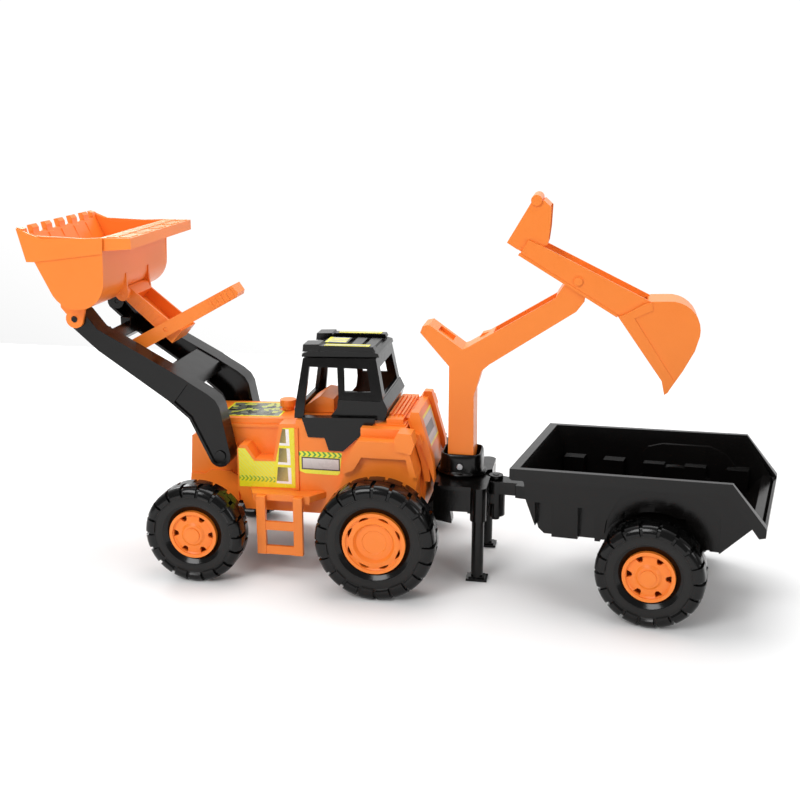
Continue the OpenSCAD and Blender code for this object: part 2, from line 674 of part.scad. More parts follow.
module stick() {
    color(orange) difference() {
        union() {
            slab_pair(stick_side, stick_half - wall, stick_half);
            slab([on_stick(-74, -9.6), on_stick(-61, -9.6), on_stick(-61, -7), on_stick(-74, -7)], 1 - stick_half, stick_half - 1);
            slab([on_stick(24, -9.6), on_stick(61.5, -9.6), on_stick(77, 15), on_stick(74, 16), on_stick(60, -7), on_stick(24, -7)],
                1 - stick_half, stick_half - 1);
            for (s = [-66, 40, 62]) slab([on_stick(s, -9), on_stick(s + 2, -9), on_stick(s + 2, 6), on_stick(s, 6)], -stick_half + 1.5, stick_half - 1.5);
            slab_pair([on_stick(-76, -11.5), on_stick(61, -11.5), on_stick(61, -8.5), on_stick(-76, -8.5)], stick_half - wall, stick_half + 1);
            both_sides() cross_rod(stick_pivot, 6, stick_half - 1, stick_half + 1);
        }
        cross_rod(stick_pivot, arm_pin_r, -40, 40);
    }
}

module stick_pin() {
    color(orange) {
        cross_rod(stick_pivot, arm_pin_r, -stick_half - 1, stick_half + 1);
        both_sides() cross_rod(stick_pivot, 5, stick_half + 1, stick_half + 2.5);
    }
}

// Digging bucket: two cheeks, a rolled back and a mouth band
dig_c = [331, 317];
dig_r = 35;
dig_side = concat([[274, 331], [327, 257], [329, 243], [333, 243], [348, 268], [361, 294]], arc(dig_c, dig_r, -20, 96, 10), [[309, 351]]);
dig_hollow = concat([[274, 331], [327, 257], [331, 252], [345, 270], [357, 296]], arc(dig_c, dig_r - wall, -18, 96, 10), [[309, 347]]);
dig_band = [[271, 332], [325, 257], [329, 240], [333, 243], [340, 256], [336, 262], [285, 338]];

module digger_bucket() {
    d = digger_half_w;
    color(orange) difference() {
        union() {
            difference() {
                slab(dig_side, -d + 1.5, d - 1.5);
                slab(dig_hollow, -d + 1.5 + wall, d - 1.5 - wall);
            }
            slab_pair(dig_band, d - 3, d);
            slab_pair([[272, 331], [282, 327], [311, 341], [309, 350], [300, 348]], d - 2, d);
        }
        slab([[240, 310], [262, 326], [306, 344], [300, 372], [240, 372]], -stick_half - 0.3, stick_half + 0.3);
    }
}

// Handle plate box at the tail of the stick
handle_side = [[138, 415], [154, 405], [160, 402], [186, 414], [188, 431], [189, 457], [180, 465], [173, 461], [165, 462]];

module stick_handle() {
    color(orange) difference() {
        slab(handle_side, -stick_half + wall + 0.1, stick_half - wall - 0.1);
        slab(inset(handle_side, wall), -stick_half + 2 * wall, stick_half - 2 * wall);
        slab([[176, 416], [200, 416], [200, 458], [176, 458]], -stick_half + 2 * wall, stick_half - 2 * wall);
        slab([on_stick(-66.5, -14), on_stick(-63.5, -14), on_stick(-63.5, 6.5), on_stick(-66.5, 6.5)], -stick_half, stick_half);
        slab([on_stick(-80, -16), on_stick(-60, -16), on_stick(-60, -6.5), on_stick(-80, -6.5)], -stick_half, stick_half);
        cross_rod([171.5, 465], 6.5, -30, 30);
    }
}

module stick_grip() { color(orange) cross_rod([171.5, 465], 6.5, -stick_half, stick_half); }

// ---------- trailer ----------

// Trailer parts are drawn from the hitch pin and turned about it
module on_trailer() { translate([hitch_at[0], 0, 0]) rotate([0, 0, trailer_yaw]) children(); }

module hitch_pin() {
    color(black) translate([hitch_at[0], 0, 0]) {
        translate([0, 0, 62]) cylinder(r = 4 - gap, h = 58);
        translate([0, 0, 114.2]) cylinder(r = 9, h = 5);
        translate([0, 0, 60]) cylinder(r = 5.5, h = 5.5);
    }
}

module drawbar() {
    color(black) on_trailer() difference() {
        union() {
            translate([0, 0, 97.3]) cylinder(r = 15, h = 16.7);
            translate([0, 0, 97.3]) linear_extrude(16.7) polygon([[0, -14], [30, -10], [44, -14], [44, 14], [30, 10], [0, 14]]);
            slab([[30, 97.3], [70.8, 97.3], [61.7, 124], [60.3, 139], [54, 139], [44, 114], [30, 114]], -18, 18);
        }
        translate([0, 0, 90]) cylinder(r = 4 + gap, h = 40);
    }
}

// Tub: side outlines outside and inside, then half widths at two heights
bed_out = [[52, 162], [60, 146], [62, 124], [75, 86], [82, 80], [285, 88], [318, 124], [330, 122], [296, 173]];
bed_in = [[50, 220], [55, 164], [63, 146], [65, 124], [78, 88], [84, 83], [283.5, 91.2], [316.5, 127.5], [350, 127.5], [350, 220]];
bed_low = [83, 70];
bed_high = [bed_half_w - 3, 174];
function bed_cross(d, z) = let (w = bed_low[0] - d + (bed_high[0] - bed_low[0]) * (z - bed_low[1]) / (bed_high[1] - bed_low[1]))
    [[d - bed_low[0], bed_low[1]], [bed_low[0] - d, bed_low[1]], [w, z], [-w, z]];
rim_band = [[47, 150], [291, 161], [326, 117], [333, 119], [333, 129], [294, 176], [44, 164], [44, 152]];
rim_under = [[47, 140], [280, 100], [330, 100], [330, 127.5], [292.5, 173], [47, 161]];
arch_c = [drawbar_to_axle, small_tyre_r];
well_r = small_tyre_r + 4;
arch_depth = 4;
arch_side = [[157, 110], [152, 70.5], [284, 70.5], [284, 131], [269, 147], [249, 154], [202, 154], [177, 146], [169, 137]];
arch_skin = [[153, 112], [146, 75], [288, 75], [288, 132], [271, 150], [250, 158], [201, 158], [175, 150], [166, 139]];

// Open tub with a folded rim, a sloping open tail, wheel wells and blocks along the foot of its walls
module trailer_bed() {
    color(black) on_trailer() difference() {
        union() {
            difference() {
                union() {
                    intersection() {
                        slab(bed_out, -bed_half_w, bed_half_w);
                        bar(bed_cross(0, 180), 40, 350);
                    }
                    difference() {
                        slab(rim_band, -bed_half_w, bed_half_w);
                        slab(rim_under, 3 - bed_half_w, bed_half_w - 3);
                    }
                }
                intersection() {
                    slab(bed_in, -bed_half_w, bed_half_w);
                    bar(bed_cross(3, 230), 40, 360);
                }
            }
            // pods over the wheels and blocks between them
            intersection() {
                union() {
                    both_sides() cross_rod(arch_c, well_r + 3, 75, 95);
                    both_sides() for (x = [70:51:276]) slab([[x, 78], [x + 26, 79], [x + 26, 128 + x * 0.03], [x, 127 + x * 0.03]], 73, 95);
                }
                slab([[64, 150], [64, 124], [76, 87], [83, 81], [285, 89], [317, 124], [300, 160]], -100, 100);
                bar(bed_cross(1, 180), 40, 350);
            }
            // inner skin behind the wheel arch
            intersection() {
                slab(arch_skin, -100, 100);
                slab([[64, 150], [64, 124], [76, 87], [83, 81], [285, 89], [317, 124], [300, 160]], -100, 100);
                difference() {
                    bar(bed_cross(1, 180), 40, 350);
                    bar(bed_cross(arch_depth + wall, 230), 39, 351);
                }
            }
            // axle saddles
            both_sides() box(drawbar_to_axle - 16, drawbar_to_axle + 16, 58, 76, 54, 90);
        }
        both_sides() cross_rod(arch_c, well_r, 78, 120);
        // angular wheel arch, and the hollows behind the inner blocks
        difference() {
            slab(arch_side, -120, 120);
            bar(bed_cross(arch_depth, 230), 40, 360);
        }
        both_sides() for (x = [70:51:223]) slab([[x + 3, 60], [x + 23, 60], [x + 23, 124], [x + 3, 123]], 76, 120);
        cross_rod(arch_c, axle_r, -100, 100);
    }
}

module trailer_axle() { color(steel) on_trailer() cross_rod(arch_c, axle_r, small_nose + 6 - trailer_track_half, trailer_track_half - small_nose - 6); }
module trailer_tyre(side) { on_trailer() at_axle(arch_c, trailer_track_half, side) tyre(small_tyre_r, small_tyre_w, small_rim_r); }
module trailer_rim(side) {
    on_trailer() at_axle(arch_c, trailer_track_half, side) rim(small_tyre_w, small_rim_r, small_holes, small_dish, small_nose);
}

// ---------- labels ----------
label_t = 0.4;
side_label_pts = [[-188, 105.5], [-115, 107.5], [-115, 186], [-130, 185], [-140, 141], [-168, 140], [-179, 156], [-188, 156]];
name_label_pts = [[-109.6, 131], [-102, 128], [-61, 127.5], [-58, 130], [-55, 157], [-109.6, 156.5]];

module hood_label() {
    color("gold") difference() {
        slab([[-222, 187.6], [-142, 190.25], [-142, 190.65], [-222, 188]], -32, 32);
        translate([-141, 4, 180]) cylinder(r = 11, h = 20);
    }
}
module side_label() { color("gold") slab(side_label_pts, panel_half, panel_half + label_t); }
module name_label() { color("gold") slab(name_label_pts, panel_half, panel_half + label_t); }
module roof_labels() {
    color("gold") {
        both_sides() slab([[-80, 287.2], [-24, 288], [-24, 288.4], [-80, 287.6]], 34, 44);
        box(-86, -60, -15, 15, 285, 285 + label_t);
    }
}
function panel_x(z) = 52 - (z - 150) * 16 / 55;
module rear_label() {
    color("silver") slab([[panel_x(158), 158], [panel_x(158) + label_t, 158], [panel_x(196) + label_t, 196], [panel_x(196), 196]],
        -40, 40);
}

placed() body_shell();
placed() underframe();
placed() rear_grille();
placed() cab_frame();
placed() cab_roof();
placed() dashboard();
placed() filler_cap();
placed() ladder_left();
placed() ladder_right();
placed() front_axle();
placed() rear_axle();
placed() front_tyre(-1);  // front_tyre_left
placed() front_rim(-1);  // front_rim_left
placed() front_tyre(1);  // front_tyre_right
placed() front_rim(1);  // front_rim_right
placed() rear_tyre(-1);  // rear_tyre_left
placed() rear_rim(-1);  // rear_rim_left
placed() rear_tyre(1);  // rear_tyre_right
placed() rear_rim(1);  // rear_rim_right
placed() loader_arm_left();
placed() loader_arm_right();
placed() arm_cross_front();
placed() arm_cross_rear();
placed() arm_pivot_pins();
placed() loader_bucket();
placed() bucket_pins();
placed() tilt_link();
placed() link_pin_front();
placed() link_pin_rear();
placed() tilt_lever();
placed() lever_pin();
placed() backhoe_base();
placed() outrigger_left();
placed() outrigger_right();
placed() turret();
placed() turret_screw();
placed() boom();
placed() boom_pin();
placed() stick();
placed() stick_pin();
placed() digger_bucket();
placed() stick_handle();
placed() stick_grip();
placed() hitch_pin();
placed() drawbar();
placed() trailer_bed();
placed() trailer_axle();
placed() trailer_tyre(-1);  // trailer_tyre_left
placed() trailer_rim(-1);  // trailer_rim_left
placed() trailer_tyre(1);  // trailer_tyre_right
placed() trailer_rim(1);  // trailer_rim_right
placed() hood_label();
placed() mirror([0, 1, 0]) side_label();  // side_label_left
placed() side_label();  // side_label_right
placed() mirror([0, 1, 0]) name_label();  // name_label_left
placed() name_label();  // name_label_right
placed() roof_labels();
placed() rear_label();
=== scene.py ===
# %% [markdown]
# # A toy backhoe loader with its trailer
# This script dresses the finished parts of a moulded toy: a tractor with a bucket in front, a digging arm
# behind and a black trailer on the hitch. The parts come in at their real size, and everything is measured in
# metres. The shapes that a mould gives but plain solids lack are added here: softened edges, lugged tyres,
# printed labels and the small raised patterns.

# %% Start and load the parts
import json
import math

import bmesh
import bpy
from mathutils import Matrix, Vector


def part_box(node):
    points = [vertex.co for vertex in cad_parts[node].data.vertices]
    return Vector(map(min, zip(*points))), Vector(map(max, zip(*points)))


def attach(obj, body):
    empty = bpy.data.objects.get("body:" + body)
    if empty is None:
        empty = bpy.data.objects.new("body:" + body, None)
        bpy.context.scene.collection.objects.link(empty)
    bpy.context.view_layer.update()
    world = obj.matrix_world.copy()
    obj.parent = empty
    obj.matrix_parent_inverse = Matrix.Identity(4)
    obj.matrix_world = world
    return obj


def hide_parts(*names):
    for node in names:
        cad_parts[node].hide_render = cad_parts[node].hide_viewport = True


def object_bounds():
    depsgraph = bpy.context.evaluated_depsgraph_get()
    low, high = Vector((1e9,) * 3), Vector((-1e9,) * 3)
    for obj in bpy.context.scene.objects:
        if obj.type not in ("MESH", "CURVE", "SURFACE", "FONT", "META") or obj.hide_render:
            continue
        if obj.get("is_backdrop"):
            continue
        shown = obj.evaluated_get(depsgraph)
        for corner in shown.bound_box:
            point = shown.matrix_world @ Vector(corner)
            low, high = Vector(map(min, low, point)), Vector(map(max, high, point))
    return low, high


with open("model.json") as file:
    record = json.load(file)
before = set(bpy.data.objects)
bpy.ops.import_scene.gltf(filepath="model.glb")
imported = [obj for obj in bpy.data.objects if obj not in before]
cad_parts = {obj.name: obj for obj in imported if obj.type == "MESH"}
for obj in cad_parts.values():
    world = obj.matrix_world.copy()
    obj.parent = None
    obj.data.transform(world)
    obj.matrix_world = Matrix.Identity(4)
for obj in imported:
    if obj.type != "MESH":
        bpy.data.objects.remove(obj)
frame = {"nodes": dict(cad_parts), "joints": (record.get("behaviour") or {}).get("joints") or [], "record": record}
cad_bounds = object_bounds()
joints = {joint["name"]: joint for joint in frame["joints"]}
slot_of = {part["node"]: part["material_slot"] for part in frame["record"]["subparts"]}
MM = 0.001

# %% [markdown]
# ## Sums inside a material
# A finish is a small calculation: how far a spot is from an edge, which stripe it falls in, how rough it is
# there. `Value` is one result in such a calculation. Adding or multiplying it writes the matching node, so a
# pattern can be written as plain arithmetic. `Paint` is the material that the calculation belongs to.

# %% Values and paints
class Value:
    """One result inside a material, that adds and multiplies like a number."""

    def __init__(self, paint, socket):
        self.paint = paint
        self.socket = socket

    def math(self, operation, other=0.0, swap=False):
        pair = [other, self] if swap else [self, other]
        return self.paint.node("ShaderNodeMath", {"operation": operation}, pair)

    def __add__(self, other): return self.math("ADD", other)
    def __radd__(self, other): return self.math("ADD", other, True)
    def __sub__(self, other): return self.math("SUBTRACT", other)
    def __rsub__(self, other): return self.math("SUBTRACT", other, True)
    def __mul__(self, other): return self.math("MULTIPLY", other)
    def __rmul__(self, other): return self.math("MULTIPLY", other, True)
    def __truediv__(self, other): return self.math("DIVIDE", other)
    def __rtruediv__(self, other): return self.math("DIVIDE", other, True)
    def __pow__(self, other): return self.math("POWER", other)
    def __rpow__(self, other): return self.math("POWER", other, True)
    def __mod__(self, other): return self.math("FLOORED_MODULO", other)
    def __rmod__(self, other): return self.math("FLOORED_MODULO", other, True)
    def __gt__(self, other): return self.math("GREATER_THAN", other)
    def __lt__(self, other): return self.math("LESS_THAN", other)
    def __neg__(self): return self.math("MULTIPLY", -1.0)
    def __abs__(self): return self.math("ABSOLUTE")


class Paint:
    """A material being mixed."""

    def __init__(self, name):
        self.material = bpy.data.materials.new(name)
        self.material.use_nodes = True
        self.tree = self.material.node_tree
        self.tree.nodes.clear()
        self.spot = self.node("ShaderNodeTexCoord", out="Object")

    def node(self, kind, settings=None, inputs=(), out=0):
        made = self.tree.nodes.new(kind)
        for key, value in (settings or {}).items():
            setattr(made, key, value)
        for key, value in (inputs.items() if isinstance(inputs, dict) else enumerate(inputs)):
            if isinstance(value, Value):
                self.tree.links.new(value.socket, made.inputs[key])
            else:
                made.inputs[key].default_value = value
        return Value(self, made.outputs[out])

    def axes(self, origin=(0, 0, 0)):
        """Distance from a point along x, y and z, in millimetres."""
        moved = self.node("ShaderNodeVectorMath", {"operation": "SUBTRACT"}, [self.spot, tuple(origin)])
        scaled = self.node("ShaderNodeVectorMath", {"operation": "SCALE"}, {0: moved, "Scale": 1000.0})
        return [self.node("ShaderNodeSeparateXYZ", None, [scaled], axis) for axis in range(3)]

    def noise(self, scale, detail=2.0, stretch=(1, 1, 1)):
        """A cloudy value from 0 to 1. A scale of 100 has about one cloud each centimetre."""
        spot = self.node("ShaderNodeVectorMath", {"operation": "MULTIPLY"}, [self.spot, tuple(stretch)])
        return self.node("ShaderNodeTexNoise", None, {"Vector": spot, "Scale": scale, "Detail": detail})

    def mix(self, share, first, second):
        """From the first colour to the second as share goes from 0 to 1."""
        return self.node("ShaderNodeMix", {"data_type": "RGBA"}, {0: share, 6: first, 7: second}, 2)

    def bump(self, height, depth, strength=1.0):
        """A height from 0 to 1 as a relief of that depth in metres."""
        return self.node("ShaderNodeBump", None, {"Height": height, "Distance": depth, "Strength": strength})

    def surface(self, **inputs):
        named = {key.replace("_", " ").title().replace("Ior", "IOR"): value for key, value in inputs.items()}
        shader = self.node("ShaderNodeBsdfPrincipled", None, named)
        end = self.tree.nodes.new("ShaderNodeOutputMaterial")
        self.tree.links.new(shader.socket, end.inputs[0])
        return self.material


def rgb(red, green, blue):
    """A colour given as on a paint chart, 0 to 255, in the linear light that shading works in."""
    shares = [c / 255 for c in (red, green, blue)]
    return tuple(((c + 0.055) / 1.055) ** 2.4 if c > 0.04 else c / 12.92 for c in shares) + (1.0,)


def between(value, low, high):
    return (value > low) * (value < high)


print("paints are ready")

# %% [markdown]
# ## Moulded plastics
# The orange parts are injection-moulded in dyed plastic. The colour runs through the wall and wears evenly,
# so it only drifts a little, with faint flow clouds from the gate, and the surface has the mould's fine satin
# grain. The black parts come from a polished mould, so they are glossier and show clear reflections.

# %% Orange and black plastic
def orange_plastic():
    paint = Paint("orange_plastic")
    flow = paint.noise(14, 3, (1, 1, 0.6))
    grain = paint.noise(2600, 1)
    waves = paint.noise(38, 1)
    colour = paint.mix(flow, rgb(238, 122, 34), rgb(246, 136, 46))
    rough = 0.30 + 0.10 * flow + 0.05 * grain
    relief = paint.bump(waves * 0.85 + grain * 0.15, 0.00035, 0.5)
    return paint.surface(base_color=colour, roughness=rough, normal=relief, ior=1.48)


def black_plastic():
    paint = Paint("black_plastic")
    flow = paint.noise(18, 3)
    grain = paint.noise(2200, 1)
    waves = paint.noise(45, 1)
    colour = paint.mix(flow, rgb(6, 5, 5), rgb(11, 10, 9))
    rough = 0.13 + 0.09 * flow + 0.03 * grain
    relief = paint.bump(waves * 0.9 + grain * 0.1, 0.0005, 0.5)
    return paint.surface(base_color=colour, roughness=rough, normal=relief, ior=1.36)


# %% Steel
def steel():
    paint = Paint("steel")
    drawn = paint.noise(900, 2, (1, 0.03, 1))
    spots = paint.noise(60, 2)
    colour = paint.mix(drawn, rgb(150, 150, 152), rgb(205, 205, 206))
    rough = 0.24 + 0.18 * spots
    relief = paint.bump(drawn, 0.0001, 0.4)
    return paint.surface(base_color=colour, metallic=1.0, roughness=rough, normal=relief)


finishes = {"orange_plastic": orange_plastic(), "black_plastic": black_plastic(), "steel": steel()}
print("plastics and steel:", ", ".join(finishes))

# %% [markdown]
# ## Tyre plastic
# The tyres are blow-moulded: the lugs come out glossy and the flat side wall has a finer, greyer satin. The
# material looks at how far a spot is from the wheel's centre and turns duller on the side wall between the
# rim and the lugs.

# %% Tyre
def tyre_plastic(name, rim_radius, tyre_radius, half_width):
    """For a tyre whose own origin is the wheel's centre, with the axle along y."""
    paint = Paint(name)
    x, y, z = paint.axes()
    reach = (x * x + z * z) ** 0.5
    grain = paint.noise(1500, 2)
    clouds = paint.noise(30, 2)
    rim_radius, tyre_radius, half_width = (size / MM for size in (rim_radius, tyre_radius, half_width))
    on_wall = (abs(y) > half_width - 4) * between(reach, rim_radius + 9, tyre_radius * 0.80)
    colour = paint.mix(on_wall * (0.55 + 0.3 * grain), rgb(7, 7, 7), rgb(30, 29, 28))
    rough = 0.13 + 0.07 * clouds + on_wall * (0.20 + 0.10 * grain)
    relief = paint.bump(clouds * 0.7 + grain * 0.3 * on_wall, 0.0005, 0.5)
    return paint.surface(base_color=colour, roughness=rough, normal=relief, ior=1.36)


# %% [markdown]
# ## Printed labels
# The labels are printed film. Each pattern is drawn in millimetres from the label's lower front corner, with
# stripes made by a repeating remainder. They carry blocks, bars and arrows only, and no lettering.

# %% Labels on the sides
def label_paint(name, node):
    """A paint and the distances from the low corner of a label, in millimetres."""
    paint = Paint(name)
    low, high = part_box(node)
    return paint, paint.axes(low), (high - low) / MM


def film(paint, colour, rough=0.22):
    """Glossy printed film with a slightly uneven face."""
    uneven = paint.noise(70, 2)
    rough = rough + 0.1 * uneven
    return paint.surface(base_color=colour, roughness=rough, normal=paint.bump(uneven, 0.0002, 0.4), ior=1.5)


def arrows(along, from_middle, step):
    """A row of bars bent at their middle, which makes arrow heads."""
    return ((along + abs(from_middle) * 0.9) % step) < step * 0.45


def side_label():
    paint, (u, _, v), _ = label_paint("side_label", "side_label_left")
    base = paint.mix(paint.noise(16), rgb(240, 224, 30), rgb(222, 214, 44))
    hatch = (((u + v) % 5.0) < 1.6) * (u < 46) * (v > 12)
    colour = paint.mix(hatch * 0.55, base, rgb(206, 224, 120))
    row = between(v, 8, 15) * (u < 47) * arrows(u, v - 11.5, 5.2)
    colour = paint.mix(row * 0.8, colour, rgb(84, 160, 50))
    # three windows above one another, each a pale frame round a bronze pane
    left = 48.5 + (v - 7) * 0.1
    right = 68.3 - (v - 7) * 0.035
    for low in (7, 32, 57):
        pale_frame = between(v, low, low + 21.5) * (u > left) * (u < right)
        pane = between(v, low + 3, low + 21.5) * (u > left) * (u < right - 4.2)
        gleam = (u - left) / 16 + (low + 21 - v) / 60 + paint.noise(90, 3) * 0.2
        pale = paint.mix(paint.noise(200), rgb(226, 216, 214), rgb(250, 246, 244))
        colour = paint.mix(pale_frame, colour, pale)
        colour = paint.mix(pane, colour, paint.mix(gleam, rgb(84, 70, 34), rgb(176, 156, 86)))
    return film(paint, colour)


def name_label():
    paint, (u, _, v), _ = label_paint("name_label", "name_label_left")
    base = paint.mix(paint.noise(20), rgb(240, 232, 44), rgb(226, 226, 60))
    colour = paint.mix((v > 22.5) * arrows(u, v - 25.5, 6.5), base, rgb(84, 160, 60))
    edge = between(u, 3, 52) * between(v, 5.5, 22)
    bar = between(u, 4.6, 50.4) * between(v, 7.2, 20.3)
    colour = paint.mix(edge, colour, rgb(74, 58, 52))
    colour = paint.mix(bar, colour, paint.mix(v / 26, rgb(150, 140, 136), rgb(226, 220, 218)))
    return film(paint, colour)


# %% Labels on the bonnet, the roof and the back
def hood_label():
    paint, (u, w, _), size = label_paint("hood_label", "hood_label")
    where = {"Vector": paint.spot, "Scale": 130.0}
    cells = paint.node("ShaderNodeTexVoronoi", {"distance": "CHEBYCHEV"}, where, "Color")
    tone = paint.node("ShaderNodeSeparateColor", None, [cells])
    colour = paint.mix(tone, rgb(24, 26, 24), rgb(140, 146, 128))
    colour = paint.mix((tone > 0.72) * 0.8, colour, rgb(186, 196, 70))
    inside = between(u, 2.5, size.x - 2.5) * between(w, 2.5, size.y - 2.5)
    return film(paint, paint.mix(inside, rgb(232, 226, 50), colour))


def roof_label():
    paint, (u, w, _), size = label_paint("roof_labels", "roof_labels")
    middle = abs(w - size.y / 2)
    bars = between(middle % 9.0, 2.0, 6.0) * between(u, 4, size.x - 4)
    base = paint.mix(paint.noise(25), rgb(238, 224, 46), rgb(214, 214, 70))
    grey = paint.mix(paint.noise(160, 2), rgb(104, 106, 112), rgb(168, 170, 176))
    return film(paint, paint.mix(bars, base, grey))


def rear_label():
    paint, (_, w, v), size = label_paint("rear_label", "rear_label")
    inside = between(w, 3, size.y - 3) * between(v, 3, size.z - 3)
    bar = between(w, 14, size.y - 14) * between(v, 13, 25)
    silver = paint.mix(paint.noise(300, 2, (1, 0.05, 1)), rgb(158, 160, 164), rgb(206, 208, 211))
    colour = paint.mix(inside, rgb(232, 222, 60), silver)
    return film(paint, paint.mix(bar, colour, rgb(92, 94, 98)), 0.3)


finishes.update(side_label=side_label(), stripe_label=name_label(), hood_label=hood_label(),
                roof_label=roof_label(), silver_label=rear_label())
for name, part in frame["nodes"].items():
    if slot_of[name] != "tyre":
        part.data.materials.clear()
        # the arms' pivot pins end in black caps
        part.data.materials.append(finishes["black_plastic" if name == "arm_pivot_pins" else slot_of[name]])
print("finishes:", ", ".join(finishes))

# %% [markdown]
# ## Soft moulded edges
# No moulded toy has knife-sharp corners: the mould is milled with a small radius, and that thin rounded edge
# catches the light. Each part gets the same treatment: stray points are joined, flat areas become single
# faces, and every real corner is rounded, most of them by 0.7 mm.

# %% Round the edges
def soften(part, radius=0.7 * MM, turn=28):
    part.data.polygons.foreach_set("use_smooth", [True] * len(part.data.polygons))
    join = part.modifiers.new("join", "WELD")
    join.merge_threshold = 0.01 * MM
    flat = part.modifiers.new("flat", "DECIMATE")
    flat.decimate_type = "DISSOLVE"
    flat.angle_limit = math.radians(0.6)
    round_off = part.modifiers.new("round", "BEVEL")
    round_off.width = radius
    round_off.segments = 2
    round_off.angle_limit = math.radians(turn)
    round_off.use_clamp_overlap = True
    even = part.modifiers.new("even", "WEIGHTED_NORMAL")
    even.keep_sharp = True
    return part


LARGER_RADIUS = {
    "turret": 4.0,
    "trailer_bed": 1.0,
    "loader_arm_left": 1.4,
    "loader_arm_right": 1.4,
    "body_shell": 1.0,
    "cab_roof": 1.2,
}
rounded = [name for name in frame["nodes"] if "label" not in name and slot_of[name] != "tyre"]
for name in rounded:
    soften(frame["nodes"][name], LARGER_RADIUS.get(name, 0.7) * MM)
print("edges rounded on", len(rounded), "parts")

# %% [markdown]
# ## Tyres with lugs
# Each tyre is one hollow blow moulding. A round profile is turned round the axle in small steps. Where a
# groove falls between two lugs the skin is set back, so the steps in the outline come from the same skin. The
# lugs of the two sides stand half a pitch apart, and every second lug reaches further down the side wall.

# %% Make the tyres
def shell(name, rows):
    """A mesh from closed rows of points."""
    mesh = bpy.data.meshes.new(name)
    wide = len(rows[0])
    points = [point for row in rows for point in row]
    faces = []
    for i in range(len(rows) - 1):
        for k in range(wide):
            a, b = i * wide + k, i * wide + (k + 1) % wide
            faces.append((a, b, b + wide, a + wide))
    mesh.from_pydata(points, [], faces)
    mesh.update()
    part = bpy.data.objects.new(name, mesh)
    bpy.context.scene.collection.objects.link(part)
    return part


def tyre_profile(rim_radius, radius, half):
    """A tyre's half section: distance from the axle, distance in from the outer face, share of a groove."""
    start = lug_start(radius)
    # a seat on the rim, then a hollow ring that rises to the flat wall
    wall = [(0.1, 12), (0.2, 8.4), (1.6, 7.4), (4.5, 5.6), (7.5, 3.5), (10, 2.3), (13, 1.9)]
    rows = [(rim_radius + out * MM, inward * MM, 0) for out, inward in wall]
    rows += [(start - 4 * MM, 2.0 * MM, 0), (start - 0.7 * MM, 2.3 * MM, 0)]
    # the lugs stand up from the wall and turn over a full shoulder to the tread
    rows += [(start, 0.6 * MM, 0.6), (start + 3 * MM, 0.1 * MM, 0.9)]
    shoulder = [(8, 0.3), (4, 1.6), (1.2, 4.6), (0, 8)]
    rows += [(radius - below * MM, inward * MM, 1) for below, inward in shoulder]
    return rows + [(radius, half - 1.0 * MM, 1)]


def lug_start(radius):
    """Where the lugs begin on the side wall."""
    return radius * 0.79


def tyre(name, node, joint, rim_radius, lugs, material):
    low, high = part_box(node)
    radius = (high.z - low.z) / 2
    front_low, front_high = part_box(node.replace("trailer", "front"))
    half = (front_high.y - front_low.y) / 2
    groove_depth, short_lug_step = 3.0 * MM, 1.5 * MM
    # shares of one pitch, and whether the skin is set back there
    steps = [(0.0, 1), (0.15, 1), (0.18, 0), (0.38, 0), (0.60, 0), (0.80, 0), (0.97, 0), (0.9999, 1)]
    sides = []
    for side in (-1, 1):
        rows = []
        for reach, inward, cut in tyre_profile(rim_radius, radius, half):
            row = []
            for lug in range(lugs):
                short = lug % 2 == 1 and reach < lug_start(radius) + 2.5 * MM
                for share, groove in steps:
                    turn = 2 * math.pi * (lug + share + (0.5 if side > 0 else 0)) / lugs
                    depth = groove_depth * cut if groove else (short_lug_step if short and cut else 0)
                    slope = min(1.0, max(0.0, (radius - reach) / (7 * MM)))
                    r = reach - depth * (1 - 0.6 * slope)
                    y = side * (half - inward - depth * (0.2 + 0.75 * slope))
                    row.append((r * math.cos(turn), y, r * math.sin(turn)))
            rows.append(row)
        sides.append(rows)
    skin = shell(name, sides[0] + sides[1][::-1])
    turn_to = Vector((0, 1, 0)).rotation_difference(Vector(joints[joint]["axis"])).to_matrix().to_4x4()
    skin.matrix_world = Matrix.Translation((low + high) / 2) @ turn_to
    skin.data.materials.append(material)
    skin.data.polygons.foreach_set("use_smooth", [True] * len(skin.data.polygons))
    round_off = skin.modifiers.new("round", "BEVEL")
    round_off.width = 0.8 * MM
    round_off.segments = 2
    round_off.angle_limit = math.radians(32)
    skin.modifiers.new("even", "WEIGHTED_NORMAL").keep_sharp = True
    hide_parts(node)
    return skin


for axle, lugs, half_width in (("rear", 20, 23 * MM), ("front", 18, 20 * MM), ("trailer", 18, 20 * MM)):
    for side in ("left", "right"):
        node = f"{axle}_tyre_{side}"
        rim_low, rim_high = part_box(f"{axle}_rim_{side}")
        tyre_low, tyre_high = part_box(node)
        rim_radius = (rim_high.z - rim_low.z) / 2
        radius = (tyre_high.z - tyre_low.z) / 2
        material = tyre_plastic(node, rim_radius, radius, half_width)
        made = tyre(f"{axle}_lugged_tyre_{side}", node, f"{axle}_{side}_spin", rim_radius, lugs, material)
        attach(made, f"{axle}_wheel_{side}")
        print(made.name, len(made.data.vertices), "points, radius", round(radius, 4))

# %% [markdown]
# ## Swing post of the digger
# The post is a small glossy pot: a round flange at the foot, a squarish body with full round shoulders, and a
# well in its top where the boom stands. The shape is drawn as rings that go from a circle at the foot to a
# rounded square above, down again inside the well and closed with a floor.

